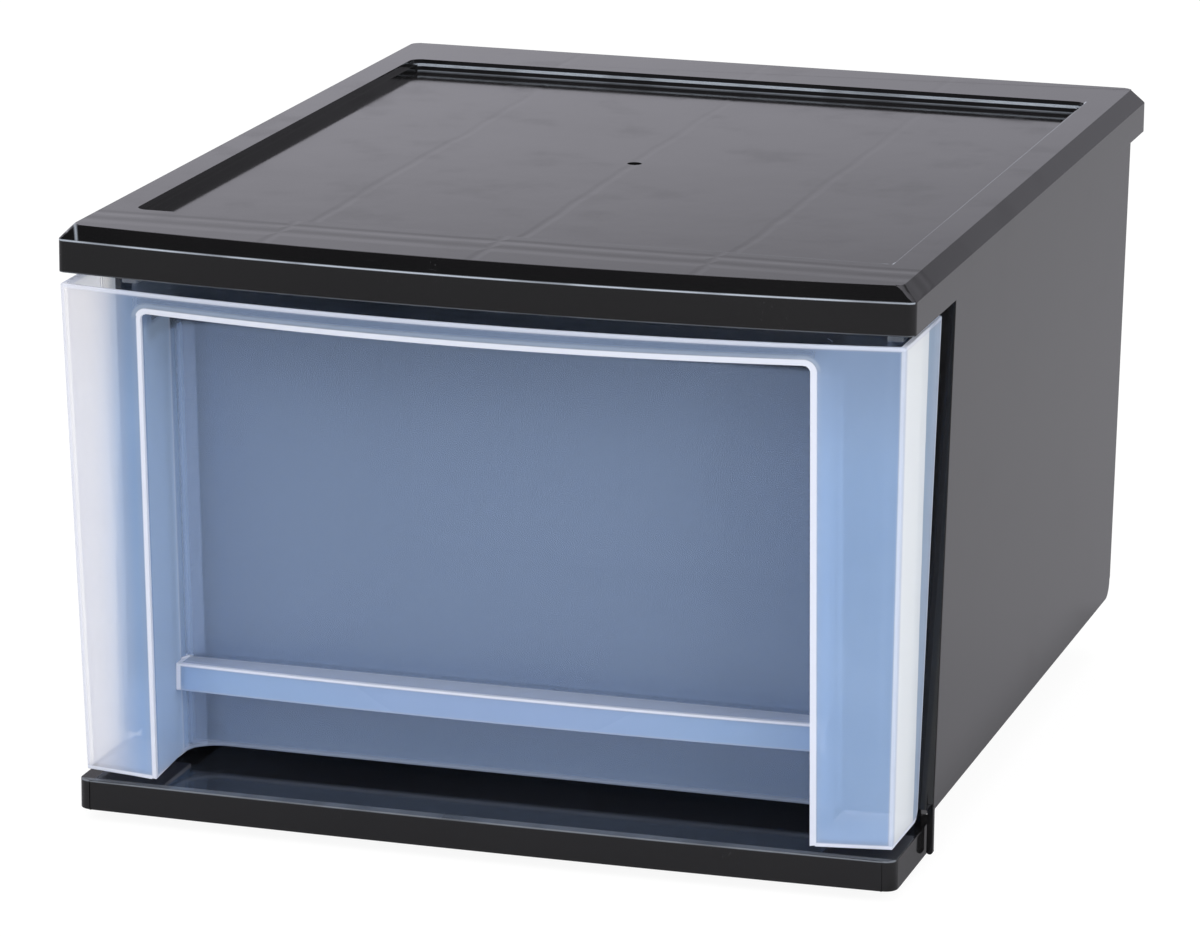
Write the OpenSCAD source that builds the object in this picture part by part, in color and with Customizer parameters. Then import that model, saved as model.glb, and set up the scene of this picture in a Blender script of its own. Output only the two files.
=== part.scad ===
// Stackable drawer box: a snap-together black case with one translucent pull-out drawer.
// Millimetres, +Z up, drawer opens towards -Y. Origin: centre of the footprint, on the floor.
// Inside the modules y is counted from the lid's two front corners; seated() moves it all to the origin.

/* [Case] */
// Width of the lid, which is the widest piece
lid_w = 400; // [360:1:440]
// Depth of the lid from its front corners to its back edge
lid_d = 492; // [440:1:520]
// Height of the lid's top rim above the floor
case_h = 284; // [250:1:340]
// Wall thickness of the black mouldings
wall = 3; // [2:0.1:4]
// Gap left between mouldings that seat on each other
seat = 0.3; // [0.1:0.05:0.5]

/* [Lid] */
// How far the lid's front edge bows out in the middle
lid_bow = 13; // [5:0.5:18]
// Height of the lid's upright band, under the chamfer
band_h = 15; // [10:0.5:24]
// Height of the chamfer round the lid's top
chamfer_h = 7; // [3:0.5:8]
// Width of that chamfer at the two sides
chamfer_side = 6.5; // [3:0.5:10]
// Width of that chamfer at the front and the back
chamfer_ends = 3.5; // [2:0.5:8]
// Thickness of the lid's band
skirt = 2.5; // [1.5:0.1:3.5]
// Plan radius of the corners of the lid's band
lid_corner = 4; // [2:0.5:8]
// Plan radius of the corners of the lid's top face
top_corner = 5; // [2:0.5:8]
// Rim width at the sides of the stacking recess
rim_side = 21; // [20:0.5:28]
// Rim width in front of the stacking recess
rim_front = 43; // [36:0.5:60]
// Rim width behind the stacking recess
rim_back = 48; // [44:0.5:70]
// Depth of the stacking recess
recess_depth = 5.7; // [5:0.1:9]
// Width of the ledge half-way down the recess wall
step_w = 3; // [1.5:0.5:5]
// Depth of that ledge below the rim
step_depth = 2.4; // [1.5:0.1:3.5]
// Plan radius of the recess's corners
recess_corner = 6; // [4:0.5:14]
// Diameter of the gate dimple in the middle of the lid
dimple_d = 7; // [4:0.5:12]
// Depth of that dimple
dimple_depth = 1.2; // [0.5:0.1:2]
// Thickness of the stiffening ribs on the case's hidden faces
rib_w = 2; // [1:0.5:3]
// Distance between the three ribs under the recess floor
lid_rib_pitch = 100; // [60:5:110]
// Height of those ribs
lid_rib_h = 3.5; // [2:0.5:9]

/* [Base] */
// Height of the plinth at the front of the base
plinth_h = 14.3; // [12:0.1:20]
// Depth of the plinth at its ends, which reach back past the legs
plinth_d = 73; // [68:1:75]
// Setback of the plinth's front corners behind the lid's
plinth_setback = 5; // [2:0.5:10]
// How far the plinth's front edge bows out in the middle
plinth_bow = 2.6; // [1:0.2:8]
// Plan radius of the plinth's corners
plinth_corner = 6; // [3:0.5:9]
// Clearance between the foot and the recess that it stacks into
stack_clear = 3; // [1:0.5:5]
// Gap between each end of the plinth and the leg beside it
plinth_end_gap = 0.8; // [0.5:0.1:1.5]
// Thickness of the base's floor
floor_t = 2.5; // [2:0.1:4]
// Setback of the floor's side upstands behind the side panels' front edge
tray_setback = 14; // [10:1:20]
// Width of the ledge under the side panels' bottom flanges
ledge_w = 4; // [2:0.5:5]
// Height of the cross ribs inside the foot
foot_rib_h = 3; // [2:0.5:8]
// Number of cells between those ribs, from side to side
foot_columns = 3; // [1:1:5]
// Number of cells between those ribs, from front to back
foot_rows = 4; // [1:1:6]
// Distance of the runners inside the foot's sides
runner_inset = 12; // [4:1:30]
// Height of the two runners that the drawer slides on
runner_h = 6.9; // [4:0.1:12]
// Width of each runner
runner_w = 6; // [4:0.5:12]

/* [Side panels] */
// Inset of the side panels behind the lid's sides
side_inset = 0.7; // [0.3:0.1:2]
// Height of the side panels' lower edge above the floor
side_bottom = 28; // [24:1:40]
// Setback of the front edge at the top, behind the lid's corners
side_front_top = 80; // [72:1:100]
// Setback of the front edge at the bottom
side_front_bottom = 60; // [60:1:80]
// Distance of the back edge from the lid's front corners, at the top
side_back_top = 460; // [425:1:470]
// The same distance at the bottom
side_back_bottom = 442; // [420:1:460]
// Width of the panels' front and back flanges
flange_w = 13; // [11:0.5:16]
// Radius of the lower back corner
side_corner = 9; // [3:0.5:16]
// Height of the legs' ends above the plinth's underside
leg_lift = 1; // [0:0.5:4]
// Gap between the drawer front's rear wall and the tongues that it closes over
tongue_gap = 3; // [2:0.5:5]

/* [Back panel] */
// Distance between the five ribs on its inner face
back_rib_pitch = 60; // [30:5:80]
// Height of those ribs
back_rib_h = 2; // [1:0.5:3]
// Plain margin above and below them
back_rib_margin = 12; // [6:1:30]

/* [Drawer front] */
// Width of the drawer front at its top
front_w_top = 394; // [380:1:398]
// Width of the drawer front at its bottom
front_w_bottom = 385; // [382:1:394]
// Gap between the drawer front's top edge and the lid
front_top_gap = 4.2; // [3:0.1:8]
// Gap between the drawer front's bottom edge and the plinth
front_bottom_gap = 3.7; // [2:0.1:8]
// How far the middle of the top edge stands out in front of the lid's corners
front_reach = 23; // [16:0.5:30]
// How much further back the face is at its bottom
front_lean = 15.5; // [6:0.5:20]
// How far the face bows out between its sides
front_bow = 19; // [8:0.5:26]
// Thickness of the translucent mouldings
skin = 2.4; // [1.8:0.1:3]
// Width of the window
window_w = 312; // [260:1:320]
// Radius of the window's two upper corners in the face
window_corner = 3; // [1:0.5:6]
// Height of the window's top edge below the top of the drawer front
window_drop = 10.5; // [6:0.5:30]
// Depth from the face's middle to the pane
pane_depth = 61; // [50:0.5:66]
// Radius where the window's sides and top turn into the pane
pane_fillet = 17; // [8:0.5:20]
// Height of the pane's lower edge above the column's lower edge
pane_rise = 3.5; // [0:0.5:6]
// Depth of the side returns past the rear wall, at the top
return_top = 25; // [12:0.5:28]
// The same depth at the bottom
return_bottom = 4; // [2:0.5:5]
// Radius of the lower back corner of the side returns
return_corner = 6; // [3:0.5:10]

/* [Handle] */
// Height of the handle ledge above the bottom of the drawer front
handle_z = 49; // [35:0.5:120]
// Depth of the ledge at its ends, in front of the pane
handle_d = 20; // [16:0.5:28]
// How far the lip bows out in the middle
handle_bow = 4.5; // [1:0.5:8]
// Height of the down-turned lip
lip_h = 13; // [8:0.5:20]

/* [Bin] */
// Gap between the bin's rim and the side panels' front tongues
bin_clear = 1.5; // [1:0.1:3]
// Narrowing of the bin on each side, from rim to floor
bin_draft = 4; // [1:0.5:8]
// Radius between the bin's floor and its sides
bin_fillet = 12; // [4:0.5:20]
// Clearance between the bin and the back panel
bin_back_clear = 7; // [4:0.5:15]
// Height of the bin's rim below the top of the drawer front
rim_drop = 6; // [3:0.5:20]
// Distance of the stop tabs' front faces from the bin's back edge; they end the drawer's travel
stop_inset = 15; // [10:1:60]
// Length and height of the stop tabs
stop_size = 8; // [4:0.5:9]
// Gap between the stop tabs and the side walls
stop_clear = 3; // [1.5:0.5:4]

/* [Hidden] */
$fn = 96;
black = "#2b2a2d";
frost = "#b4c6de";
// Overlap of joined forms, and overcut past a face that is cut through
eps = 0.01;
cut = 1;
// How far the forms that shape the drawer front run past it
overrun = 40;
// Facets round the large bowed faces
fine = 720;

// Heights
// The foot reaches so far below the plinth that a stacked box stands on the recess floor
foot_drop = recess_depth + seat;
skirt_z = case_h - chamfer_h - band_h;
plinth_top = foot_drop + plinth_h;
front_z0 = plinth_top + front_bottom_gap;
front_z1 = skirt_z - front_top_gap;
front_h = front_z1 - front_z0;
runner_top = plinth_top + runner_h;
bin_z0 = runner_top + seat;
bin_z1 = front_z1 - rim_drop;

// Side planes
side_x = lid_w / 2 - side_inset;
tongue_x = side_x - flange_w;
plinth_x = side_x - wall - plinth_end_gap;
upstand_x = side_x - 3 * wall;
rim_x = tongue_x - bin_clear;

// Depths
side_top = skirt_z - seat;
pane_y_top = pane_depth - front_reach;
lean_angle = atan2(front_lean, front_h);

// Depth of the leaning front and back edges of the side panels at a height z
function edge_y(at_bottom, at_top, z) =
    at_bottom + (at_top - at_bottom) * (z - side_bottom) / (side_top - side_bottom);
function side_front(z) = edge_y(side_front_bottom, side_front_top, z);
function side_back(z) = edge_y(side_back_bottom, side_back_top, z);
// Depth of the pane, the rear wall and the bin's front edge, which lean with the face
function pane_y(z) = pane_y_top + front_lean * (front_z1 - z) / front_h;
// Radius of an arc from its chord and its rise
function arc_radius(chord, rise) = (chord * chord / 4 + rise * rise) / (2 * rise);
// Points of an arc, counter-clockwise
function arc_points(x, y, r, from, to, steps = 10) =
    [for (i = [0:steps]) let (a = from + (to - from) * i / steps) [x + r * cos(a), y + r * sin(a)]];

module seated() translate([0, -(lid_d - front_reach) / 2, 0]) children();

// A profile in y and z, extruded from x0 to x1
module yz_prism(x0, x1) translate([x0, 0, 0]) rotate([90, 0, 90]) linear_extrude(x1 - x0) children();
// A profile in x and z, extruded from y0 to y1
module xz_prism(y0, y1) translate([0, y1, 0]) rotate([90, 0, 0]) linear_extrude(y1 - y0) children();
module block(x0, x1, y0, y1, z0, z1) translate([x0, y0, z0]) cube([x1 - x0, y1 - y0, z1 - z0]);
module both_sides() { children(); mirror([1, 0, 0]) children(); }

// ---------------------------------------------------------------- lid

// The lid's outer form, shrunk by inset on every side and cut off at the height top
module lid_form(inset, z0, top, chamfered) {
    half = lid_w / 2 - inset;
    back = lid_d - inset;
    bow_r = arc_radius(lid_w, lid_bow) - inset;
    c_h = chamfered ? chamfer_h : 0;
    c_side = chamfered ? chamfer_side : 0;
    c_ends = chamfered ? chamfer_ends : 0;
    intersection() {
        xz_prism(-2 * lid_bow, back)
            polygon([[-half, z0], [half, z0], [half, top - c_h], [half - c_side, top],
                     [c_side - half, top], [-half, top - c_h]]);
        yz_prism(-half, half)
            polygon([[-2 * lid_bow, z0], [back, z0], [back, top - c_h], [back - c_ends, top],
                     [-2 * lid_bow, top]]);
        translate([0, arc_radius(lid_w, lid_bow) - lid_bow, 0])
            rotate_extrude($fn = fine)
                polygon([[0, z0], [bow_r, z0], [bow_r, top - c_h], [bow_r - c_ends, top], [0, top]]);
        lid_corners(inset, z0, top);
    }
}

// Rounds the lid's corners in plan; the front ones are tangent to the bowed edge
module lid_corners(inset, z0, top) {
    half = lid_w / 2 - inset;
    back = lid_d - inset;
    bow_r = arc_radius(lid_w, lid_bow);
    r = lid_corner;
    front_y = bow_r - lid_bow - sqrt(pow(bow_r - inset - r, 2) - pow(half - r, 2));
    block(-half, half, front_y, back - r, z0, top);
    block(r - half, half - r, -2 * lid_bow, back, z0, top);
    both_sides()
        for (y = [front_y, back - r])
            translate([half - r, y, z0]) cylinder(r = r, h = top - z0);
}

// Rounds the corners of the lid's top face; each round widens down the chamfer to clear the band's
module lid_top_corners() {
    r = top_corner;
    x = lid_w / 2 - chamfer_side - r;
    bow_r = arc_radius(lid_w, lid_bow);
    front_y = bow_r - lid_bow - sqrt(pow(bow_r - chamfer_ends - r, 2) - x * x);
    back_y = lid_d - chamfer_ends - r;
    chamfer_z = case_h - chamfer_h;
    foot_r = norm([chamfer_side + r - lid_corner, chamfer_ends + r - lid_corner]) + lid_corner;
    block(-lid_w, lid_w, -lid_d, 2 * lid_d, skirt_z - cut, chamfer_z);
    block(-lid_w, lid_w, front_y, back_y, chamfer_z - cut, case_h + cut);
    block(-x, x, -lid_d, 2 * lid_d, chamfer_z - cut, case_h + cut);
    both_sides()
        for (y = [front_y, back_y])
            translate([x, y, chamfer_z]) cylinder(r1 = foot_r, r2 = r, h = chamfer_h);
}

// A block with its upright edges rounded
module rounded_block(half, y0, y1, z0, z1, r) {
    block(-half, half, y0 + r, y1 - r, z0, z1);
    block(r - half, half - r, y0, y1, z0, z1);
    both_sides()
        for (y = [y0 + r, y1 - r])
            translate([half - r, y, z0]) cylinder(r = r, h = z1 - z0);
}

// The recess that the next box's foot drops into, grown by grow on every side
module stacking_recess(grow) {
    half = lid_w / 2 - rim_side + grow;
    y0 = rim_front - grow;
    y1 = lid_d - rim_back + grow;
    r = recess_corner + grow;
    rounded_block(half, y0, y1, case_h - step_depth - grow, case_h + cut, r);
    rounded_block(half - step_w, y0 + step_w, y1 - step_w, case_h - recess_depth - grow, case_h + cut,
                  r - step_w);
}

module top_panel() color(black) seated() {
    floor_z = case_h - recess_depth;
    difference() {
        intersection() {
            lid_form(0, skirt_z, case_h, true);
            lid_top_corners();
        }
        difference() {
            lid_form(skirt, skirt_z - cut, case_h - wall, true);
            stacking_recess(wall);
        }
        stacking_recess(0);
        translate([0, lid_d / 2, floor_z - dimple_depth]) cylinder(d = dimple_d, h = dimple_depth + cut);
    }
    // Stiffening ribs under the recess floor
    for (x = [-lid_rib_pitch, 0, lid_rib_pitch])
        block(x - rib_w / 2, x + rib_w / 2, rim_front + wall, lid_d - rim_back - wall,
              floor_z - wall - lid_rib_h, floor_z - wall + eps);
}

// ---------------------------------------------------------------- base

module plinth_form(inset, z0, z1) {
    half = plinth_x - inset;
    y1 = plinth_setback + plinth_d;
    bow_r = arc_radius(2 * plinth_x, plinth_bow);
    intersection() {
        union() {
            block(-half, half, plinth_setback + plinth_corner, y1 - inset, z0, z1);
            block(plinth_corner - half, half - plinth_corner, -plinth_bow, y1 - inset, z0, z1);
            both_sides()
                translate([half - plinth_corner, plinth_setback + plinth_corner + inset, z0])
                    cylinder(r = plinth_corner, h = z1 - z0);
        }
        translate([0, plinth_setback + bow_r - plinth_bow, z0])
            cylinder(r = bow_r - inset, h = z1 - z0, $fn = fine);
    }
}

module base_panel() color(black) seated() {
    floor_z = plinth_top - floor_t;
    foot_x = lid_w / 2 - rim_side - step_w - stack_clear;
    foot_y0 = rim_front + step_w + stack_clear;
    foot_y1 = lid_d - rim_back - step_w - stack_clear;
    foot_r = recess_corner - step_w;
    tray_y0 = side_front_bottom + tray_setback;
    hook_z = side_bottom + 2 * wall;
    tray_y1 = side_back(hook_z) - 2 * wall - seat;
    runner_x = foot_x - runner_inset;
    rib_z = floor_z - foot_rib_h;
    // Hollow plinth across the front, open towards the foot behind it
    difference() {
        plinth_form(0, foot_drop, plinth_top);
        plinth_form(wall, foot_drop - cut, floor_z);
        rounded_block(foot_x - wall, foot_y0 + wall, foot_y1 - wall, 0, floor_z, foot_r);
    }
    // Floor, with upstands that the side panels hook over
    block(wall - upstand_x, upstand_x - wall, plinth_setback + plinth_d - wall, tray_y1, floor_z,
          plinth_top);
    both_sides() {
        block(upstand_x - wall - eps, upstand_x, tray_y0, tray_y1, floor_z, hook_z);
        block(upstand_x - eps, upstand_x + ledge_w, tray_y0, tray_y1, side_bottom - seat - wall,
              side_bottom - seat);
        block(runner_x - runner_w / 2, runner_x + runner_w / 2, side_front_bottom + wall, tray_y1,
              plinth_top - eps, runner_top);
    }
    // Back upstand, which the back panel stands on
    block(-upstand_x, upstand_x, tray_y1 - eps, tray_y1 + wall, floor_z, hook_z);
    // Foot: a closed rib that drops into the recess of the box below
    difference() {
        rounded_block(foot_x, foot_y0, foot_y1, 0, floor_z + eps, foot_r + wall);
        rounded_block(foot_x - wall, foot_y0 + wall, foot_y1 - wall, -cut, floor_z + cut, foot_r);
    }
    // Cross ribs inside the foot
    for (i = [1:1:foot_columns - 1]) {
        x = foot_x * (2 * i / foot_columns - 1);
        block(x - rib_w / 2, x + rib_w / 2, foot_y0 + eps, foot_y1 - eps, rib_z, floor_z + eps);
    }
    for (i = [1:1:foot_rows - 1]) {
        y = foot_y0 + (foot_y1 - foot_y0) * i / foot_rows;
        block(eps - foot_x, foot_x - eps, y - rib_w / 2, y + rib_w / 2, rib_z, floor_z + eps);
    }
}

// ---------------------------------------------------------------- side panels

// The outline of a side panel in y and z, with its rounded lower back corner
module side_outline(z0, z1) {
    r = side_corner;
    polygon(concat([[side_front(z0), z0]],
                   arc_points(side_back(z0) - r, z0 + r, r, -90, 0),
                   [[side_back(z1), z1], [side_front(z1), z1]]));
}

// A strip of the outline between two distances from one of its leaning edges
module side_strip(back, from, to, z0, z1) {
    polygon([for (p = [[from, z0], [to, z0], [to, z1], [from, z1]])
             [(back ? side_back(p[1]) : side_front(p[1])) + p[0], p[1]]]);
}

module side_panel() {
    z0 = side_bottom;
    hook_x = lid_w / 2 - skirt - seat;
    hook_z0 = side_top - 2 * wall;
    hook_y1 = side_back(hook_z0) - 2 * wall - 2 * seat;
    leg_r = wall / 2;
    leg_foot = foot_drop + leg_lift + leg_r;
    yz_prism(side_x - wall, side_x) side_outline(z0, side_top);
    // Front flange, and the tongue in front of it that the drawer front closes over
    yz_prism(tongue_x, side_x) side_strip(false, 0, wall, z0, side_top);
    yz_prism(tongue_x, tongue_x + wall)
        polygon([[pane_y(z0) + skin + tongue_gap, z0], [side_front(z0) + wall, z0],
                 [side_front(front_z1) + wall, front_z1],
                 [pane_y(front_z1) + skin + tongue_gap, front_z1]]);
    // Back and bottom flanges, which meet in the rounded corner
    yz_prism(tongue_x, side_x) side_strip(true, -wall, 0, z0 + side_corner, side_top);
    intersection() {
        union() {
            block(upstand_x + seat, side_x, 0, lid_d, z0, z0 + wall);
            yz_prism(upstand_x + seat, side_x) side_strip(true, -wall, 0, z0, z0 + side_corner + eps);
        }
        yz_prism(0, side_x) side_outline(z0, side_top);
    }
    // Top edge, stepped in to pass up behind the lid's band; it ends in front of the back panel
    block(hook_x - wall, side_x, side_front_top, hook_y1, hook_z0, side_top);
    block(hook_x - wall, hook_x, side_front_top, hook_y1, side_top - eps,
          case_h - chamfer_h - wall - seat);
    // Leg beside the end of the plinth, round at its foot
    xz_prism(side_front_bottom, side_front_bottom + wall)
        polygon(concat([[side_x - wall, z0 + wall]], arc_points(side_x - leg_r, leg_foot, leg_r, 180, 360),
                       [[side_x, z0 + wall]]));
}

module right_side_panel() color(black) seated() side_panel();
module left_side_panel() color(black) seated() mirror([1, 0, 0]) side_panel();

// ---------------------------------------------------------------- back panel

module back_panel() color(black) seated() {
    half = side_x - wall - seat;
    inner = -2 * wall - seat;
    yz_prism(-half, half) side_strip(true, inner, inner + wall, side_bottom + 2 * wall + seat, side_top);
    // Shallow ribs on the inside
    for (i = [-2:2])
        yz_prism(i * back_rib_pitch - rib_w / 2, i * back_rib_pitch + rib_w / 2)
            side_strip(true, inner - back_rib_h, inner + eps, side_bottom + back_rib_margin,
                       side_top - back_rib_margin);
}

// ---------------------------------------------------------------- drawer

// A tapered plan of the drawer front, shrunk by inset: top wider than bottom
module front_taper(inset) {
    b = front_w_bottom / 2 - inset;
    t = front_w_top / 2 - inset;
    polygon([[-b, front_z0], [b, front_z0], [t, front_z1], [-t, front_z1]]);
}

// Turns its children to lean with the face, about the top of the face's middle
module leaning() translate([0, -front_reach, front_z1]) rotate([lean_angle, 0, 0]) children();

// Everything behind the bowed, leaning face, set back by inset
module behind_face(inset) {
    r = arc_radius(front_w_top, front_bow);
    leaning() translate([0, r, -front_h - overrun])
        cylinder(r = r - inset, h = front_h + 2 * overrun, $fn = fine);
}

// Outline in y and z of the drawer front, from in front of the face to past its rear wall
module front_side_view(extra_top, extra_bottom, corner) {
    back = pane_y(front_z0) + extra_bottom;
    low = corner > 0 ? arc_points(back - corner, front_z0 + corner, corner, -90, 0) : [[back, front_z0]];
    polygon(concat([[-2 * front_reach, front_z0]], low,
                   [[pane_y(front_z1) + extra_top, front_z1], [-2 * front_reach, front_z1]]));
}

// A plan from y0 to y1 whose two corners at y1 are rounded
module rounded_end(half, y0, y1, r) {
    translate([-half, y0]) square([2 * half, y1 - r - y0]);
    translate([r - half, y0]) square([2 * (half - r), y1 - y0]);
    for (x = [r - half, half - r])
        translate([x, y1 - r]) circle(r);
}

// The recess in front of the pane, grown by grow: rounded where sides and top meet the pane
module window_void(grow) {
    r = pane_fillet + grow;
    half = window_w / 2 + grow;
    back = pane_depth / cos(lean_angle) + grow;
    top = grow - window_drop;
    low = -front_h - overrun;
    leaning() intersection() {
        // In plan
        translate([0, 0, low]) linear_extrude(top - low + cut) rounded_end(half, -overrun, back, r);
        // From the front
        xz_prism(-overrun - cut, back + cut) rounded_end(half, low - cut, top, window_corner + grow);
        // From the side
        yz_prism(-half - cut, half + cut) {
            translate([-overrun, low - cut]) square([back + overrun, top - r - low + cut]);
            translate([-overrun, low - cut]) square([back - r + overrun, top - low + cut]);
            translate([back - r, top - r]) circle(r);
        }
    }
}

module handle() {
    z1 = front_z0 + handle_z;
    half = window_w / 2 + skin / 2;
    lip_y = pane_y(z1) - handle_d;
    r = arc_radius(window_w, handle_bow);
    intersection() {
        block(-half, half, 0, pane_y(z1) + skin / 2, z1 - lip_h, z1);
        difference() {
            translate([0, lip_y + r - handle_bow, z1 - lip_h - cut])
                cylinder(r = r, h = lip_h + 2 * cut, $fn = fine);
            intersection() {
                translate([0, lip_y + r - handle_bow, z1 - lip_h - 2 * cut])
                    cylinder(r = r - skin, h = lip_h + 2 * cut - skin, $fn = fine);
                block(-half + 2 * skin, half - 2 * skin, -front_reach, lid_d, 0, case_h);
            }
        }
    }
}

module drawer_front() color(frost, 0.8) seated() {
    difference() {
        union() {
            // Face and side returns
            difference() {
                intersection() {
                    xz_prism(-2 * front_reach, lid_d) front_taper(0);
                    behind_face(0);
                    yz_prism(-lid_w, lid_w) front_side_view(return_top, return_bottom, return_corner);
                }
                intersection() {
                    xz_prism(-2 * front_reach, lid_d) front_taper(skin);
                    behind_face(skin);
                    block(-lid_w, lid_w, -2 * front_reach, lid_d, 0, case_h);
                }
            }
            // Bottom of the columns, the rear wall and the sides of the window
            intersection() {
                xz_prism(-2 * front_reach, lid_d) front_taper(skin / 2);
                behind_face(skin / 2);
                union() {
                    block(-lid_w, lid_w, -2 * front_reach, pane_y(front_z0) + skin, front_z0,
                          front_z0 + skin);
                    yz_prism(-lid_w, lid_w)
                        polygon([[pane_y(front_z0), front_z0], [pane_y(front_z0) + skin, front_z0],
                                 [pane_y(bin_z1) + skin, bin_z1], [pane_y(bin_z1), bin_z1]]);
                    intersection() {
                        window_void(skin);
                        yz_prism(-lid_w, lid_w) front_side_view(skin, skin, 0);
                    }
                }
            }
        }
        window_void(0);
        // The lower edge rises towards the pane
        yz_prism(-window_w / 2 - skin, window_w / 2 + skin)
            polygon([[-2 * front_reach, front_z0 - cut], [lid_d, front_z0 - cut],
                     [pane_y(front_z0) + 3 * skin, front_z0 + pane_rise],
                     [pane_y(front_z0) - 3 * skin, front_z0 + pane_rise], [0, front_z0]]);
    }
    handle();
}

// Section of the bin in x and z, shrunk by inset
module bin_section(inset, z1) {
    t = rim_x - 2 * skin - inset;
    b = t - bin_draft;
    r = bin_fillet - inset;
    z0 = bin_z0 + inset;
    polygon(concat([[-t, z1]], arc_points(r - b, z0 + r, r, 180, 270),
                   arc_points(b - r, z0 + r, r, 270, 360), [[t, z1]]));
}

// Back of the bin at a height z
function bin_back(z) = side_back(z) - 2 * wall - seat - bin_back_clear;

// Outline of the bin in y and z, shrunk by inset, open to the front
module bin_side_view(front, inset, z1) {
    polygon([[pane_y(bin_z0) + front, bin_z0 + inset], [bin_back(bin_z0) - inset, bin_z0 + inset],
             [bin_back(z1) - inset, z1], [pane_y(z1) + front, z1]]);
}

module drawer_bin() color(frost, 0.7) seated() {
    stop_y = bin_back(bin_z1) + skin - stop_inset;
    difference() {
        union() {
            intersection() {
                xz_prism(0, lid_d) bin_section(0, bin_z1);
                yz_prism(-lid_w, lid_w) bin_side_view(skin + seat, 0, bin_z1);
            }
            // Rolled rim round the sides and back
            intersection() {
                block(-rim_x, rim_x, 0, lid_d, bin_z1 - skin, bin_z1);
                yz_prism(-lid_w, lid_w) bin_side_view(skin + seat, -skin, bin_z1);
            }
            // Stop tabs, which the side panels' front flanges catch when the drawer is fully open
            both_sides()
                block(rim_x - skin, side_x - wall - stop_clear, stop_y, stop_y + stop_size,
                      bin_z1 - stop_size, bin_z1);
        }
        intersection() {
            xz_prism(0, lid_d) bin_section(skin, bin_z1 + cut);
            yz_prism(-lid_w, lid_w) bin_side_view(-skin, skin, bin_z1 + cut);
        }
    }
}

top_panel();
base_panel();
left_side_panel();
right_side_panel();
back_panel();
drawer_bin();
drawer_front();
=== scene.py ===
import math

import bpy
from mathutils import Matrix, Vector

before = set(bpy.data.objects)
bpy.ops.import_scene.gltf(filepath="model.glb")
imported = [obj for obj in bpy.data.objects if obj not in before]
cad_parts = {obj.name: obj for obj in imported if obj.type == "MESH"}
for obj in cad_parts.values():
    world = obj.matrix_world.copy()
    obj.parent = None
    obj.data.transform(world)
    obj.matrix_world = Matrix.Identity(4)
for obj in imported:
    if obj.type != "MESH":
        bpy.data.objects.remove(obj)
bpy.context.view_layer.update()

# Places and sizes of the part that the looks refer to, in metres. The case:
LID_TOP = 0.284
LID_SHOULDER = 0.2769  # just under the chamfer along the lid's front
LID_HEM = 0.262  # lower edge of the lid's front band
LID_FRONT = -0.233  # ahead of this the case has nothing but the lid's front rim
RECESS_FLOOR = 0.2783
RECESS_LEDGE = 0.2816
RECESS_RIGHT = 0.1788
RECESS_FRONT = -0.1913
RECESS_BACK = 0.2081  # middle of the stepped back wall
LID_RIBS = (-0.1, 0.0, 0.1)
PLINTH_BRIM = 0.020  # just under the plinth's upper edge
PLINTH_FRONT = -0.226  # the plinth's front face lies ahead of this
# The lid's left front corner lies beyond CORNER_X and CORNER_Y. Its chamfers meet where
# x + MITRE_SLOPE * y = MITRE.
CORNER_X = -0.189
CORNER_Y = -0.2225
MITRE = -0.3195
MITRE_SLOPE = 0.55
# The drawer front, whose face is bowed and leans back:
FRONT_TOP = 0.2578
FRONT_BOTTOM = 0.024
FRONT_HALF = (0.1925, 0.1970)  # half its width at the bottom and at the top
FACE_Y = -0.2575  # y of the face's top edge, in the middle
FACE_RADIUS = 1.0308
LEAN = math.radians(3.793)
SKIN = 0.0024
REAR_WALL = (-0.1810, -0.1965)  # y of its rear wall at the bottom and at the top
RETURNS = (0.004, 0.025)  # how far the side returns reach past that wall
WINDOW_HALF = 0.156
WINDOW_DROP = 0.0105
WINDOW_CORNER = 0.003
FILLET_START = 0.035  # depth at which the window's sides turn into the pane
PANE_FOOT = 0.0275
LIP_BOTTOM = 0.060
LIP_TOP = 0.073
LIP_FRONT = -0.2088  # y of the lip's middle; it lies LIP_CURVE * x * x further back
LIP_CURVE = 0.19
LIP_BACK = -0.1905  # the pull ledge lies ahead of this
# The bin:
BIN_RIM = 0.2518

# Roughness and depth of the mould's surface
CASE_ROUGH = (0.07, 0.10)
BIN_ROUGH = (0.16, 0.26)
FROST_ROUGH = 0.42
PANE_ROUGH = 0.10
CASE_BUMP = 0.00003
FROST_BUMP = 0.00002
BIN_BUMP = 0.00005

# How much of the milky body each plastic shows, the rest being clear
FROST_OPACITY = (0.37, 0.42)
BIN_OPACITY = (0.20, 0.26)

# Colours, linear
CASE_BLACK = ((0.0052, 0.0052, 0.0058), (0.0085, 0.0082, 0.0086))
SCUFFED = (0.06, 0.06, 0.065)
# Painted highlight on the case's edges
PAINTED_HIGHLIGHT = (0.50, 0.55, 0.63)
PASSED = (1.0, 0.985, 0.965)
FROST = ((0.40, 0.61, 0.97), (0.50, 0.68, 0.97))
# Painted highlight on the drawer front's edges
LIT_EDGE = (0.76, 0.79, 0.89)
BIN_MILK = ((0.46, 0.62, 0.92), (0.56, 0.70, 0.96))
BIN_RIM_MILK = (0.85, 0.92, 1.0)
PAPER = ((0.80, 0.80, 0.80), (0.84, 0.84, 0.84))
WHITE = (1.0, 1.0, 1.0)
MIRRORED_FLOOR = (0.966, 0.947, 1.05)
MIRRORED_ROOM = (0.960, 0.943, 1.043)


# ---------------------------------------------------------------- node helper

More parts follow.
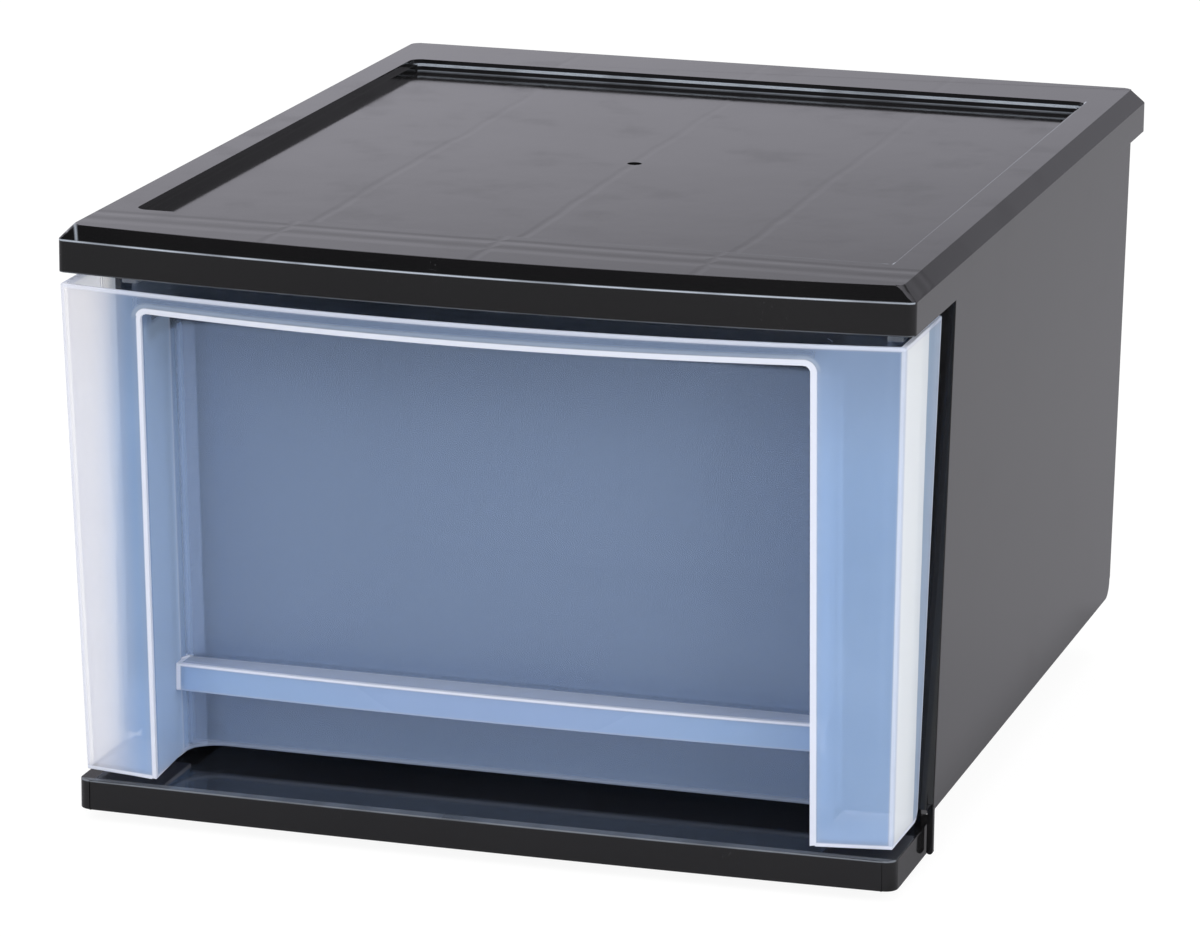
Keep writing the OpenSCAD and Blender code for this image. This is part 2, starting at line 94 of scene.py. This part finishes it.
class Graph:
    """Builds a node tree by expressions: a number, a colour or a socket may go into any input."""

    def __init__(self, tree):
        self.tree = tree
        self.tree.nodes.clear()

    def put(self, socket, value):
        if isinstance(value, bpy.types.NodeSocket):
            self.tree.links.new(value, socket)
        elif hasattr(socket.default_value, "__len__"):
            value = tuple(value)
            if len(socket.default_value) == 4 and len(value) == 3:
                value = value + (1.0,)
            socket.default_value = value
        else:
            socket.default_value = value

    def add(self, kind, props=None, **inputs):
        node = self.tree.nodes.new(kind)
        for key, value in (props or {}).items():
            setattr(node, key, value)
        for key, value in inputs.items():
            self.put(node.inputs[key.replace("_", " ")], value)
        return node

    def show(self, kind, shader):
        """Makes a shader the result of the tree, by an output node of this kind."""
        self.tree.links.new(shader, self.add(kind).inputs[0])

    # Numbers

    def math(self, operation, *values):
        node = self.add("ShaderNodeMath", {"operation": operation})
        for i, value in enumerate(values):
            self.put(node.inputs[i], value)
        return node.outputs[0]

    def plus(self, a, b):
        return self.math("ADD", a, b)

    def minus(self, a, b):
        return self.math("SUBTRACT", a, b)

    def times(self, a, b):
        return self.math("MULTIPLY", a, b)

    def size(self, a):
        return self.math("ABSOLUTE", a)

    def length(self, a, b):
        return self.math("SQRT", self.plus(self.times(a, a), self.times(b, b)))

    def between(self, share, ends):
        """The number at a share of the way from the first to the second."""
        return self.plus(ends[0], self.times(share, ends[1] - ends[0]))

    # Masks, from 0 to 1

    def ramp(self, value, low, high, to_low=0.0, to_high=1.0, smooth=True):
        node = self.add("ShaderNodeMapRange", {"interpolation_type": "SMOOTHSTEP" if smooth else "LINEAR"})
        for name, v in (("Value", value), ("From Min", low), ("From Max", high),
                        ("To Min", to_low), ("To Max", to_high)):
            self.put(node.inputs[name], v)
        return node.outputs[0]

    def step(self, value, place, off, on):
        """0 at place + off millimetres, 1 at place + on millimetres, and level beyond both."""
        return self.ramp(value, place + off * 0.001, place + on * 0.001)

    def near(self, value, centre, reach):
        """1 on value = centre, falling to 0 at reach millimetres on both sides."""
        return self.ramp(self.size(self.minus(value, centre)), reach * 0.001, 0.0)

    def any(self, *values):
        total = values[0]
        for value in values[1:]:
            total = self.math("MAXIMUM", total, value)
        return total

    def all(self, *values):
        total = values[0]
        for value in values[1:]:
            total = self.times(total, value)
        return total

    def strongest(self, *pairs):
        """The highest of several masks, each times its strength."""
        return self.any(*[self.times(where, strength) for where, strength in pairs])

    # Colours, noise and shaders

    def colour(self, factor, a, b):
        node = self.add("ShaderNodeMix", {"data_type": "RGBA"})
        self.put(node.inputs[0], factor)
        self.put(node.inputs[6], a)
        self.put(node.inputs[7], b)
        return node.outputs[2]

    def shade(self, factor, a, b):
        node = self.add("ShaderNodeMixShader")
        self.put(node.inputs[0], factor)
        self.tree.links.new(a, node.inputs[1])
        self.tree.links.new(b, node.inputs[2])
        return node.outputs[0]

    def noise(self, vector, scale, detail=2.0, roughness=0.5):
        node = self.add("ShaderNodeTexNoise", None, Vector=vector, Scale=scale, Detail=detail,
                        Roughness=roughness)
        return node.outputs["Fac"]

    def streaks(self, vector, density, detail):
        """Noise with a density of its own along each axis."""
        node = self.add("ShaderNodeMapping", None, Vector=vector, Scale=density)
        return self.noise(node.outputs[0], 1.0, detail)

    def wander(self, vector, scale, reach):
        """A slow noise around 0, over about reach metres."""
        return self.times(self.minus(self.noise(vector, scale), 0.5), reach)

    def vary(self, cloud, ends):
        """A number that follows a noise from the first value to the second."""
        return self.ramp(cloud, 0.3, 0.7, ends[0], ends[1], smooth=False)

    def bump(self, height, strength, distance):
        node = self.add("ShaderNodeBump", None, Strength=strength, Distance=distance, Height=height)
        return node.outputs[0]

    def place(self):
        coords = self.add("ShaderNodeTexCoord").outputs["Object"]
        parts = self.add("ShaderNodeSeparateXYZ", None, Vector=coords)
        return coords, parts.outputs[0], parts.outputs[1], parts.outputs[2]


def material(name):
    mat = bpy.data.materials.new(name)
    mat.use_nodes = True
    return mat, Graph(mat.node_tree)


# ---------------------------------------------------------------- the black case

def painted_edge_highlights(g, coords, x, y, z):
    """Painted highlights along the case's edges and small steps, where they catch the light."""
    on_band = g.step(y, LID_FRONT, 0.5, -0.5)
    on_top = g.step(z, LID_TOP, -0.8, -0.4)
    on_back_wall = g.all(g.step(y, RECESS_BACK, -2.9, -2.3), g.step(y, RECESS_BACK, 2.9, 2.3),
                         g.step(g.size(x), RECESS_RIGHT, 0.2, -3.8))
    shoulder = g.all(g.near(z, LID_SHOULDER, 0.62), on_band)
    hem = g.all(g.step(z, LID_HEM, 0.8, 0.1), g.step(z, LID_HEM, -0.8, -0.3), on_band)
    brim = g.all(g.near(z, PLINTH_BRIM, 0.7), g.step(y, PLINTH_FRONT, 0.5, -0.5))
    right_lip = g.all(g.near(x, RECESS_RIGHT, 0.6), on_top, g.step(y, RECESS_FRONT, -1.7, 1.3),
                      g.step(y, RECESS_BACK, 3.9, 0.9))
    # The front lip's line grows towards the right
    front_lip = g.all(g.near(y, RECESS_FRONT, 0.6), on_top, g.ramp(x, -0.15, 0.17),
                      g.step(x, RECESS_RIGHT, -0.8, -2.8))
    ledge_highlight = g.all(on_back_wall, g.step(z, RECESS_LEDGE, -0.8, -0.5), g.step(z, RECESS_LEDGE, 0.3, 0.1))
    floor_highlight = g.all(on_back_wall, g.near(z, RECESS_FLOOR + 0.0003, 0.5))
    mitre = g.near(g.plus(x, g.times(y, MITRE_SLOPE)), MITRE, 1.2)
    glint = g.all(g.step(x, CORNER_X, 1.0, -1.0), g.step(y, CORNER_Y, 1.0, -1.0),
                  g.step(z, LID_SHOULDER, 0.1, 0.6), mitre)
    bright = g.strongest((shoulder, 0.85), (right_lip, 0.8), (ledge_highlight, 0.8), (front_lip, 0.5),
                         (floor_highlight, 0.4), (glint, 0.5), (brim, 0.35), (hem, 0.2))
    broken = g.ramp(g.streaks(coords, (30.0, 6.0, 6.0), 2.0), 0.30, 0.55, 0.55, 1.0)
    return g.times(bright, broken)


def sink_marks(g, coords, x, y, z):
    """Marks over the lid's hidden ribs, and two shallow waves along its front rim."""
    on_lid = g.step(z, RECESS_FLOOR, -1.0, -0.5)
    wander = g.wander(coords, 14.0, 0.008)
    wavy_x = g.plus(x, wander)
    wavy_y = g.plus(y, g.times(wander, 0.5))
    ribs = g.any(*[g.near(wavy_x, rib, 3.5) for rib in LID_RIBS])
    waves = g.any(g.near(wavy_y, -0.218, 8.0), g.near(wavy_y, -0.203, 6.0))
    return g.times(g.any(ribs, waves), on_lid)


def black_plastic():
    mat, g = material("black_case_plastic")
    coords, x, y, z = g.place()
    cloud = g.noise(coords, 9.0, 3.0, 0.55)
    smudge = g.ramp(g.noise(coords, 26.0, 4.0, 0.6), 0.50, 0.72)
    # Fine scuffs in two directions, where the plastic is smudged
    scuff_y = g.ramp(g.streaks(coords, (1400.0, 40.0, 500.0), 1.0), 0.70, 0.78)
    scuff_x = g.ramp(g.streaks(coords, (50.0, 1500.0, 500.0), 1.0), 0.72, 0.80)
    scuffs = g.times(g.any(scuff_y, scuff_x), smudge)
    base = g.colour(cloud, *CASE_BLACK)
    base = g.colour(g.times(scuffs, 0.35), base, SCUFFED)
    # Painted highlights along the edges and steps
    base = g.colour(painted_edge_highlights(g, coords, x, y, z), base, PAINTED_HIGHLIGHT)
    rough = g.plus(g.vary(cloud, CASE_ROUGH), g.times(smudge, 0.05))
    rough = g.plus(rough, g.times(scuffs, 0.12))
    ripple = g.noise(coords, 38.0)
    grain = g.noise(coords, 1300.0)
    height = g.plus(g.times(sink_marks(g, coords, x, y, z), -0.7), g.times(ripple, 0.5))
    height = g.plus(height, g.times(grain, 0.02))
    bsdf = g.add("ShaderNodeBsdfPrincipled", None, Base_Color=base, Roughness=rough, IOR=1.5,
                 Normal=g.bump(height, 1.0, CASE_BUMP))
    g.show("ShaderNodeOutputMaterial", bsdf.outputs[0])
    return mat


# ---------------------------------------------------------------- the translucent drawer

def translucent(g, haze, opacity, rough, normal, scatter=0.25):
    """Plastic that shows what is behind it through a milky body.

    haze is the body's colour, opacity its share of the surface, and scatter the share of it that
    light passes through instead of bouncing off.
    """
    bsdf = g.add("ShaderNodeBsdfPrincipled", None, Base_Color=haze, Roughness=rough, IOR=1.49,
                 Normal=normal)
    glow = g.add("ShaderNodeBsdfTranslucent", None, Color=haze, Normal=normal)
    clear = g.add("ShaderNodeBsdfTransparent", None, Color=PASSED)
    body = g.shade(scatter, bsdf.outputs[0], glow.outputs[0])
    g.show("ShaderNodeOutputMaterial", g.shade(opacity, clear.outputs[0], body))


class Face:
    """Where a point lies on the drawer front, measured in the leaning frame of its bowed face."""

    def __init__(self, g, x, y, z):
        self.x, self.y, self.z = x, y, z
        dy, dz = g.minus(y, FACE_Y), g.minus(z, FRONT_TOP)
        cos, sin = math.cos(LEAN), math.sin(LEAN)
        inwards = g.plus(g.times(dy, cos), g.times(dz, sin))
        # Height above the top edge along the face, and depth behind the bowed face
        self.up = g.minus(g.times(dz, cos), g.times(dy, sin))
        self.behind = g.minus(FACE_RADIUS, g.length(x, g.minus(FACE_RADIUS, inwards)))
        # Distance from the middle, share of the height, and distance in from the front's side
        self.out = g.size(x)
        self.share = g.math("DIVIDE", g.minus(z, FRONT_BOTTOM), FRONT_TOP - FRONT_BOTTOM)
        self.from_side = g.minus(g.between(self.share, FRONT_HALF), self.out)
        self.on_face = g.step(self.behind, SKIN, 0.8, -0.4)
        # Distance out from the window's outline, whose upper corners are rounded
        right_of = g.minus(self.out, WINDOW_HALF - WINDOW_CORNER)
        self.above = g.plus(self.up, WINDOW_DROP + WINDOW_CORNER)
        rounded = g.length(g.math("MAXIMUM", right_of, 0.0), g.math("MAXIMUM", self.above, 0.0))
        inner = g.math("MINIMUM", g.any(right_of, self.above), 0.0)
        self.outside = g.minus(g.plus(rounded, inner), WINDOW_CORNER)


def window_masks(g, face):
    """The pane, the window's sides, top and outline, and what lies around them."""
    out, up, behind, outside = face.out, face.up, face.behind, face.outside
    top = -WINDOW_DROP
    at_side = g.all(g.step(out, WINDOW_HALF, -4.0, -1.0), g.step(out, WINDOW_HALF, 1.2, 0.6))
    over = g.step(face.above, 0.0, -2.0, 3.0)
    past_outline = g.step(outside, 0.0, -0.4, 0.0)
    mask = {}
    mask["pane"] = g.all(g.step(out, WINDOW_HALF, 0.3, -1.0), g.step(up, top, 0.3, -1.0),
                         g.step(behind, FILLET_START, -2.0, 2.0), g.step(up, top, -0.5, -6.0))
    mask["low_pane"] = g.times(mask["pane"], g.ramp(face.z, 0.085, 0.060))
    mask["bend"] = g.times(mask["pane"], g.step(out, WINDOW_HALF, -18.0, -7.0))
    mask["seam"] = g.all(g.near(behind, FILLET_START, 1.3), at_side)
    mask["side"] = g.all(at_side, g.step(up, top, -4.0, -10.0), g.step(behind, 0.0, 3.0, 4.5),
                         g.step(behind, FILLET_START, 1.2, -0.5))
    # The window's roof, painted in shade under the lid
    mask["roof"] = g.all(g.step(up, 0.0, -30.0, -26.0), g.step(behind, 0.0, 12.0, 16.0),
                         g.step(out, WINDOW_HALF, 4.0, 2.0))
    mask["shelf"] = g.all(g.step(up, top, -0.5, 0.0), g.step(up, top, 3.5, 2.3),
                          g.step(behind, 0.0, 3.0, 5.0), g.step(out, WINDOW_HALF, 2.0, 0.0))
    # Painted shade on the face above the window, under the lid
    mask["shaded_band_over"] = g.all(face.on_face, over, g.step(outside, 0.0, 0.0, 0.6),
                              g.step(out, WINDOW_HALF, 8.0, -4.0))
    # The painted light line around the window is wider on the right and above than on the left
    line = g.any(g.ramp(face.x, -0.15, 0.15, 0.0018, 0.0026), g.times(over, 0.0024))
    mask["outline"] = g.all(past_outline, g.step(g.minus(outside, line), 0.0, 0.8, 0.0), face.on_face)
    # A painted glow of light around the window, strongest above it
    glow = g.strongest((g.all(over, g.step(outside, 0.0, 5.2, 4.2)), 0.8),
                       (g.step(outside, 0.0, 6.0, 2.5), 0.35))
    mask["halo"] = g.all(glow, face.on_face, past_outline)
    mask["pane_foot"] = g.all(g.step(face.z, PANE_FOOT, 2.4, 1.2),
                              g.step(behind, FILLET_START, -5.0, -1.0),
                              g.step(out, WINDOW_HALF, 1.0, 0.0))
    return mask


def column_masks(g, coords, face):
    """The columns beside the window, the side returns behind them, and their edges."""
    x, y, z, behind = face.x, face.y, face.z, face.behind
    rear = g.between(face.share, REAR_WALL)
    back = g.plus(rear, g.between(face.share, RETURNS))
    to_back = g.minus(back, y)
    on_return = g.all(g.step(face.from_side, 0.0, 3.0, 2.6), g.step(behind, 0.0, 1.5, 3.5))
    # The returns are milkier ahead of a wavy line along the rear wall, and painted near white there, as lit
    # outside the case; behind it they are painted bluer, in the case's shade
    milky = g.plus(g.plus(rear, g.wander(coords, 22.0, 0.003)), g.times(g.minus(face.share, 1.0), 0.006))
    inner_wall = g.step(behind, FILLET_START, -5.0, 1.0)
    mask = {}
    mask["side_front"] = g.all(on_return, g.step(g.minus(milky, y), 0.0, -2.2, -1.2))
    mask["side_rear"] = g.times(on_return, g.minus(1.0, mask["side_front"]))
    # The left return is painted near white, as lit from the left
    mask["lit_left_return"] = g.all(on_return, g.ramp(x, -0.180, -0.185),
                                g.step(to_back, 0.0, 0.0, 16.0))
    # Painted light on the face's left outer strip, where the lit left return shows through
    mask["lit_left_strip"] = g.all(face.on_face, g.ramp(x, -0.160, -0.186),
                               g.step(face.outside, 0.0, 2.0, 10.0))
    mask["left_low"] = g.all(g.step(x, -WINDOW_HALF, -1.0, -4.0), g.ramp(z, 0.070, 0.040), inner_wall)
    mask["rear_wall"] = g.all(inner_wall, g.step(face.out, WINDOW_HALF, 1.0, 3.0))
    # Painted shade on the face's upper part, under the lid
    mask["painted_lid_shade"] = g.ramp(z, 0.19, FRONT_TOP)
    mask["top_edge"] = g.step(z, FRONT_TOP, -2.6, -1.2)
    mask["foot_edge"] = g.all(g.step(z, FRONT_BOTTOM, 2.6, 1.4), g.step(face.out, WINDOW_HALF, -1.0, 0.0))
    mask["corner"] = g.all(g.step(face.from_side, 0.0, 2.6, 1.2), g.step(behind, 0.0, 6.0, 2.0))
    mask["back_edge"] = g.all(g.step(to_back, 0.0, 2.6, 1.2), g.ramp(face.out, 0.186, 0.188))
    return mask


def lip_masks(g, face):
    """The pull ledge with its hanging lip, the ledge's top, and the edges of both."""
    x, y, z = face.x, face.y, face.z
    lip = g.all(g.step(z, LIP_BOTTOM, -1.2, 0.0), g.step(z, LIP_TOP, 1.4, 0.4),
                g.step(face.out, WINDOW_HALF, 0.0, -0.6), g.step(y, LIP_BACK, 1.0, -1.0))
    depth = g.minus(y, g.plus(LIP_FRONT, g.times(g.times(x, x), LIP_CURVE)))
    on_top = g.step(z, LIP_TOP, -1.8, -0.8)
    front_edge = g.all(on_top, g.step(depth, 0.0, 3.2, 1.8))
    end_edges = g.step(face.out, WINDOW_HALF, -3.2, -2.2)
    edges = g.strongest((front_edge, 1.0), (g.step(z, LIP_BOTTOM, 1.2, 0.4), 0.45), (end_edges, 1.0))
    # The ledge's top is painted lighter, as lit from above
    return {"lip": lip, "lit_lip_top": g.all(lip, on_top, g.step(depth, 0.0, 1.6, 3.0)),
            "lip_edge": g.all(lip, edges)}


def frosted_plastic():
    mat, g = material("frosted_front_plastic")
    coords, x, y, z = g.place()
    face = Face(g, x, y, z)
    mask = {**window_masks(g, face), **column_masks(g, coords, face), **lip_masks(g, face)}
    # Painted highlights along the edges, where they gather the light
    edge = g.strongest(*[(mask[name], strength) for name, strength in (
        ("outline", 1.0), ("top_edge", 0.8), ("foot_edge", 1.0), ("corner", 0.7),
        ("back_edge", 0.8), ("pane_foot", 0.42), ("seam", 0.45), ("lip_edge", 1.0))])
    cloud = g.noise(coords, 11.0, 3.0)
    # The milk's colour, with painted light and shade where marked: each row lies over the rows before it,
    # with its mask, strength and colour
    haze = g.colour(cloud, *FROST)
    for name, strength, tint in (
            # Painted shade under the lid
            ("painted_lid_shade", 0.45, (0.26, 0.34, 0.52)),
            ("pane", 1.0, (0.46, 0.62, 0.94)),
            # Painted shade on the window's roof
            ("roof", 1.0, (0.20, 0.28, 0.45)),
            # Painted light on the ledge's top
            ("lit_lip_top", 1.0, (0.78, 0.84, 0.97)),
            ("side", 1.0, (0.56, 0.72, 0.97)),
            # Painted light on the returns ahead of the rear wall
            ("side_front", 1.0, (0.92, 0.95, 0.98)),
            # Painted shade on the returns behind it, inside the case
            ("side_rear", 1.0, (0.62, 0.77, 0.98)),
            # Painted light on the left return
            ("lit_left_return", 1.0, (0.96, 0.97, 1.0)),
            # Painted light on the face's left outer strip
            ("lit_left_strip", 0.85, (1.0, 0.96, 0.98)),
            # Painted shade above the window
            ("shaded_band_over", 0.65, (0.22, 0.29, 0.44)),
            # Painted light around the window
            ("halo", 1.0, (0.60, 0.72, 0.90))):
        haze = g.colour(g.times(mask[name], strength), haze, tint)
    haze = g.colour(edge, haze, LIT_EDGE)
    # How milky it is: again each row lies over those before it
    opacity = g.vary(cloud, FROST_OPACITY)
    for name, level in (
            ("rear_wall", 0.05), ("left_low", 0.45), ("pane", 0.27), ("low_pane", 0.33), ("bend", 0.21),
            # The roof and the shelf are nearly clear, so that the dark behind them stands for the shade
            # under the lid
            ("roof", 0.03), ("shelf", 0.06), ("side", 0.50), ("side_front", 0.72), ("side_rear", 0.52),
            ("lit_left_return", 0.94), ("lip", 0.46)):
        opacity = g.plus(g.times(opacity, g.minus(1.0, mask[name])), g.times(mask[name], level))
    opacity = g.any(opacity, edge)
    # Behind the rear wall the side returns are lit through more than the rest, the left one most
    scatter = g.any(g.ramp(mask["side_rear"], 0.0, 1.0, 0.22, 0.50), g.times(mask["lit_left_return"], 0.70))
    # The frosting's grain stays off the pane
    grain = g.times(g.noise(coords, 1500.0), g.minus(1.0, mask["pane"]))
    height = g.plus(grain, g.noise(coords, 30.0))
    rough = g.ramp(mask["pane"], 0.0, 1.0, FROST_ROUGH, PANE_ROUGH)
    translucent(g, haze, opacity, rough, g.bump(height, 0.4, FROST_BUMP), scatter)
    return mat


def clear_plastic():
    mat, g = material("clear_bin_plastic")
    coords, _, _, z = g.place()
    cloud = g.noise(coords, 12.0, 3.0)
    rim = g.step(z, BIN_RIM, -3.0, -1.8)
    haze = g.colour(cloud, *BIN_MILK)
    haze = g.colour(rim, haze, BIN_RIM_MILK)
    opacity = g.plus(g.vary(cloud, BIN_OPACITY), g.times(rim, 0.2))
    # Flow lines along the width, and a fine grain
    height = g.plus(g.streaks(coords, (20.0, 260.0, 260.0), 2.0), g.noise(coords, 900.0))
    translucent(g, haze, opacity, g.vary(cloud, BIN_ROUGH), g.bump(height, 0.4, BIN_BUMP))
    return mat


# ---------------------------------------------------------------- the CAD nodes

def finish_node(name, mat, edge_width, merge_flat):
    """Gives a CAD node its material and moulded, softly rounded edges."""
    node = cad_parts[name]
    node.data.materials.clear()
    node.data.materials.append(mat)
    weld = node.modifiers.new("weld", "WELD")
    weld.merge_threshold = 0.00001
    if merge_flat:
        flat = node.modifiers.new("merge_flat_faces", "DECIMATE")
        flat.decimate_type = "DISSOLVE"
        flat.angle_limit = math.radians(0.3)
    bevel = node.modifiers.new("moulded_edges", "BEVEL")
    bevel.offset_type = "ABSOLUTE" if merge_flat else "OFFSET"
    bevel.width = edge_width
    bevel.segments = 3
    bevel.limit_method = "ANGLE"
    bevel.angle_limit = math.radians(20.0)
    bevel.miter_outer = "MITER_ARC"
    bevel.use_clamp_overlap = False
    smooth = node.modifiers.new("weighted_normals", "WEIGHTED_NORMAL")
    smooth.mode = "FACE_AREA"
    smooth.weight = 50
    smooth.keep_sharp = False


BLACK = black_plastic()
FROSTED = frosted_plastic()
CLEAR = clear_plastic()

# The last value: whether faces in one plane are merged first, which only some of the meshes take well
for part, mat, edge_width, merge_flat in (
        ("top_panel", BLACK, 0.0003, True),
        ("base_panel", BLACK, 0.0004, False),
        ("left_side_panel", BLACK, 0.0004, False),
        ("right_side_panel", BLACK, 0.0004, False),
        ("back_panel", BLACK, 0.0004, True),
        ("drawer_bin", CLEAR, 0.0004, False),
        ("drawer_front", FROSTED, 0.0005, True)):
    finish_node(part, mat, edge_width, merge_flat)


# ---------------------------------------------------------------- stage, light, camera

def build_floor():
    """A white floor to the camera, grey paper to the lamps' light, and dimmer still to glossy plastic."""
    half = 12.0
    corners = [(-half, -half, 0), (half, -half, 0), (half, half, 0), (-half, half, 0)]
    mesh = bpy.data.meshes.new("floor")
    mesh.from_pydata(corners, [], [(0, 1, 2, 3)])
    floor = bpy.data.objects.new("floor", mesh)
    bpy.context.scene.collection.objects.link(floor)
    mat, g = material("floor_paper")
    ray = g.add("ShaderNodeLightPath")
    coords, x, y, _ = g.place()
    grain = g.noise(coords, 60.0, 3.0)
    paper = g.add("ShaderNodeBsdfDiffuse", None, Color=g.colour(grain, *PAPER))
    white = g.add("ShaderNodeEmission", None, Color=WHITE, Strength=1.08)
    seen = g.any(ray.outputs["Is Camera Ray"], ray.outputs["Is Transmission Ray"])
    # Glossy plastic sees a floor that is dimmer far in front of the box, and a painted contact shadow close
    # to its right side
    front = g.plus(g.ramp(y, -1.2, -0.4, 0.185, 0.34), g.ramp(y, -0.2, 0.3, 0.0, 0.04))
    close = g.all(g.ramp(x, 0.18, 0.19), g.ramp(x, 0.24, 0.205),
                  g.ramp(y, -0.26, -0.24), g.ramp(y, 0.30, 0.26))
    level = g.times(front, g.minus(1.0, g.times(close, 0.5)))
    mirror = g.add("ShaderNodeEmission", None, Color=MIRRORED_FLOOR, Strength=level)
    view = g.shade(g.times(seen, 0.85), paper.outputs[0], white.outputs[0])
    view = g.shade(g.times(ray.outputs["Is Glossy Ray"], 0.8), view, mirror.outputs[0])
    g.show("ShaderNodeOutputMaterial", view)
    mesh.materials.append(mat)


def build_world():
    """A white room to the camera, with soft walls and a bright ceiling to glossy plastic."""
    world = bpy.data.worlds.new("studio")
    bpy.context.scene.world = world
    world.use_nodes = True
    g = Graph(world.node_tree)
    ray = g.add("ShaderNodeLightPath")
    coords = g.add("ShaderNodeTexCoord").outputs["Generated"]
    # Parts of the direction: x to the right, y to the back, z up
    x, y, z = g.add("ShaderNodeSeparateXYZ", None, Vector=coords).outputs
    wall = g.ramp(z, 0.195, 0.24, 0.67, 0.30)
    ceiling = g.ramp(z, 0.50, 0.90, 0.0, 1.6)
    # The front of the room is dark above, where the lid's front chamfer looks, and dim below
    frontal = g.any(g.ramp(y, -0.1, -0.6, 1.0, 0.03), g.ramp(z, 0.45, 0.35, 0.0, 0.45))
    # The wall is brighter to the left, and darker to the right, where the lid's side chamfer looks
    left = g.ramp(x, -0.40, -0.18, 1.25, 0.90, smooth=False)
    right = g.ramp(x, -0.05, 0.20, 1.0, 0.68)
    level = g.all(g.plus(g.all(wall, left, right), ceiling), frontal)
    mirror = g.add("ShaderNodeBackground", None, Color=MIRRORED_ROOM, Strength=level)
    light = g.add("ShaderNodeBackground", None, Color=WHITE, Strength=0.80)
    white = g.add("ShaderNodeBackground", None, Color=WHITE, Strength=1.0)
    seen = g.any(ray.outputs["Is Camera Ray"], ray.outputs["Is Transmission Ray"])
    sky = g.shade(ray.outputs["Is Glossy Ray"], light.outputs[0], mirror.outputs[0])
    g.show("ShaderNodeOutputWorld", g.shade(seen, sky, white.outputs[0]))


def area_light(name, place, aim, size, watts):
    data = bpy.data.lights.new(name, "AREA")
    data.shape = "RECTANGLE"
    data.size, data.size_y = size
    data.energy = watts
    lamp = bpy.data.objects.new(name, data)
    bpy.context.scene.collection.objects.link(lamp)
    lamp.location = place
    lamp.rotation_euler = (Vector(aim) - Vector(place)).to_track_quat("-Z", "Y").to_euler()
    lamp.visible_glossy = False


def build_camera(place, azimuth, elevation, roll, lens):
    """A camera that looks at the front from azimuth degrees to the right and elevation degrees above."""
    az, el, roll = math.radians(azimuth), math.radians(elevation), math.radians(roll)
    level = Vector((math.cos(az), math.sin(az), 0))
    rise = Vector((-math.sin(az) * math.sin(el), math.cos(az) * math.sin(el), math.cos(el)))
    back = Vector((math.sin(az) * math.cos(el), -math.cos(az) * math.cos(el), math.sin(el)))
    right = level * math.cos(roll) + rise * math.sin(roll)
    up = rise * math.cos(roll) - level * math.sin(roll)
    data = bpy.data.cameras.new("camera")
    data.sensor_fit = "HORIZONTAL"
    data.sensor_width = 36.0
    data.lens = lens
    data.clip_start = 0.05
    data.clip_end = 60.0
    camera = bpy.data.objects.new("camera", data)
    bpy.context.scene.collection.objects.link(camera)
    turn = Matrix((right, up, back)).transposed().to_4x4()
    camera.matrix_world = Matrix.Translation(place) @ turn
    bpy.context.scene.camera = camera


build_floor()
build_world()
area_light("key", (-1.0, -2.2, 2.0), (0, 0, 0.1), size=(1.8, 1.4), watts=25.0)
area_light("right", (2.2, -1.4, 1.2), (0.2, -0.2, 0.1), size=(1.4, 1.4), watts=31.0)
area_light("top", (0.2, 0.3, 2.4), (0, 0, 0.1), size=(1.4, 1.4), watts=10.0)
build_camera((0.7827, -2.6554, 0.8431), azimuth=16.67, elevation=14.46, roll=0.55, lens=176.31)
bpy.context.scene.view_settings.view_transform = "Standard"
